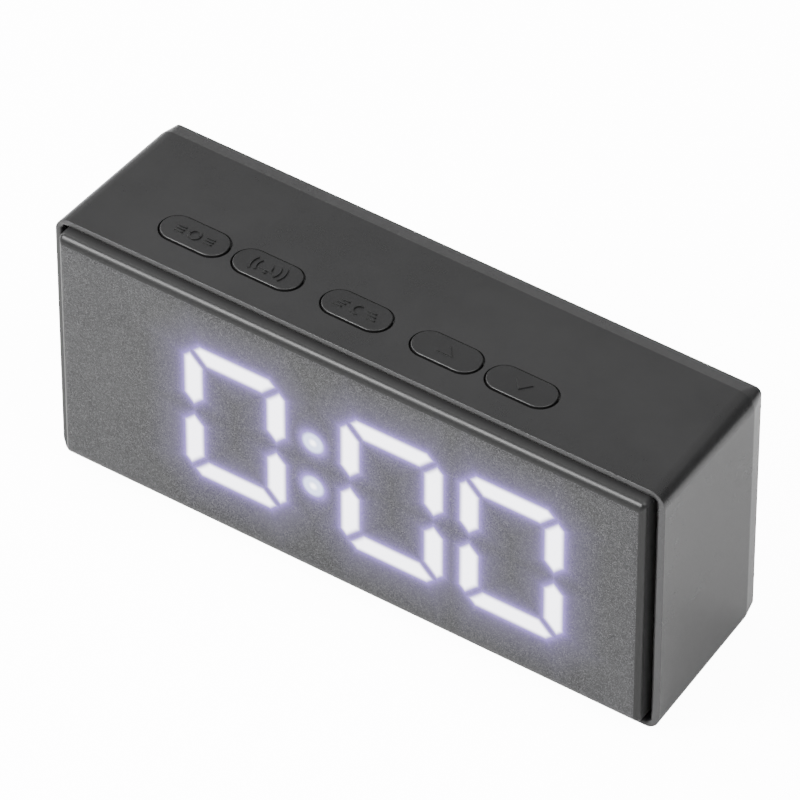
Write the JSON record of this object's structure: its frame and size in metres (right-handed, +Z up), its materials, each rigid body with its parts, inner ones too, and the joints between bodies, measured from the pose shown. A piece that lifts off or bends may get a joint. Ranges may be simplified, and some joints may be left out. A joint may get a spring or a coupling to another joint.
{
  "type": "alarm clock",
  "caption": "Oblong desk alarm clock with a tinted light display, round-ended keys on top, rear battery door, supply socket and rubber feet.",
  "frame": {"origin": "middle of the bounding box at its lowest height, on the table under the clock", "axes": "+Z up, the display faces -Y, +X to the right of a person who looks at the display"},
  "size_m": [0.15, 0.0446, 0.0675],
  "materials": {
    "case_plastic": "satin",
    "key_plastic": "satin",
    "panel_plastic": "satin",
    "mask_plastic": "matte",
    "diffuser_plastic": "satin",
    "reflector_plastic": "matte",
    "board_laminate": "satin",
    "chip_plastic": "matte",
    "tray_plastic": "matte",
    "bright_steel": "satin",
    "spring_steel": "satin",
    "cell_jacket": "satin",
    "rubber": "matte",
    "lead_red": "satin",
    "lead_black": "satin",
    "lead_grey": "satin"
  },
  "bodies": {
    "housing": {"battery_cell_1": "cell_jacket", "battery_cell_2": "cell_jacket", "battery_cell_3": "cell_jacket", "battery_lead_black": "lead_black", "battery_lead_red": "lead_red", "battery_tray": "tray_plastic", "board_screw_1": "bright_steel", "board_screw_2": "bright_steel", "board_screw_3": "bright_steel", "board_screw_4": "bright_steel", "buzzer": "chip_plastic", "buzzer_lead": "lead_grey", "case": "case_plastic", "clock_crystal": "bright_steel", "contact_flat_1": "bright_steel", "contact_flat_2": "bright_steel", "contact_flat_3": "bright_steel", "contact_spring_1": "spring_steel", "contact_spring_2": "spring_steel", "contact_spring_3": "spring_steel", "controller_blob": "chip_plastic", "display_board": "board_laminate", "foot_front_left": "rubber", "foot_front_right": "rubber", "foot_rear_left": "rubber", "foot_rear_right": "rubber", "front_frame": "mask_plastic", "front_panel": "panel_plastic", "key_board": "board_laminate", "key_board_lead": "lead_grey", "key_board_screw_1": "bright_steel", "key_board_screw_2": "bright_steel", "light_mask": "mask_plastic", "power_board": "board_laminate", "rear_screw_1": "bright_steel", "rear_screw_2": "bright_steel", "rear_screw_3": "bright_steel", "rear_screw_4": "bright_steel", "reflector": "reflector_plastic", "segment_diffuser": "diffuser_plastic", "supply_capacitor": "lead_black", "supply_lead": "lead_grey", "supply_socket": "bright_steel", "switch_alarm": "chip_plastic", "switch_down": "chip_plastic", "switch_mode": "chip_plastic", "switch_snooze": "chip_plastic", "switch_up": "chip_plastic"},
    "mode_key": {"key_mode": "key_plastic", "plunger_mode": "chip_plastic"},
    "alarm_key": {"key_alarm": "key_plastic", "plunger_alarm": "chip_plastic"},
    "snooze_key": {"key_snooze": "key_plastic", "plunger_snooze": "chip_plastic"},
    "up_key": {"key_up": "key_plastic", "plunger_up": "chip_plastic"},
    "down_key": {"key_down": "key_plastic", "plunger_down": "chip_plastic"},
    "rear_door": {"battery_door": "case_plastic"}
  },
  "joints": [
    {"name": "mode_key_press", "type": "slide", "parent": "housing", "child": "mode_key", "axis": [0, 0, -1], "range_m": [0, 0.0005], "stiffness_N_per_m": 1000},
    {"name": "alarm_key_press", "type": "slide", "parent": "housing", "child": "alarm_key", "axis": [0, 0, -1], "range_m": [0, 0.0005], "stiffness_N_per_m": 1000},
    {"name": "snooze_key_press", "type": "slide", "parent": "housing", "child": "snooze_key", "axis": [0, 0, -1], "range_m": [0, 0.0005], "stiffness_N_per_m": 1000},
    {"name": "up_key_press", "type": "slide", "parent": "housing", "child": "up_key", "axis": [0, 0, -1], "range_m": [0, 0.0005], "stiffness_N_per_m": 1000},
    {"name": "down_key_press", "type": "slide", "parent": "housing", "child": "down_key", "axis": [0, 0, -1], "range_m": [0, 0.0005], "stiffness_N_per_m": 1000},
    {"name": "battery_door_hinge", "type": "hinge", "parent": "housing", "child": "rear_door", "pos_m": [0.022, 0.0223, 0.01515], "axis": [-1, 0, 0], "range_deg": [0, 90]}
  ]
}
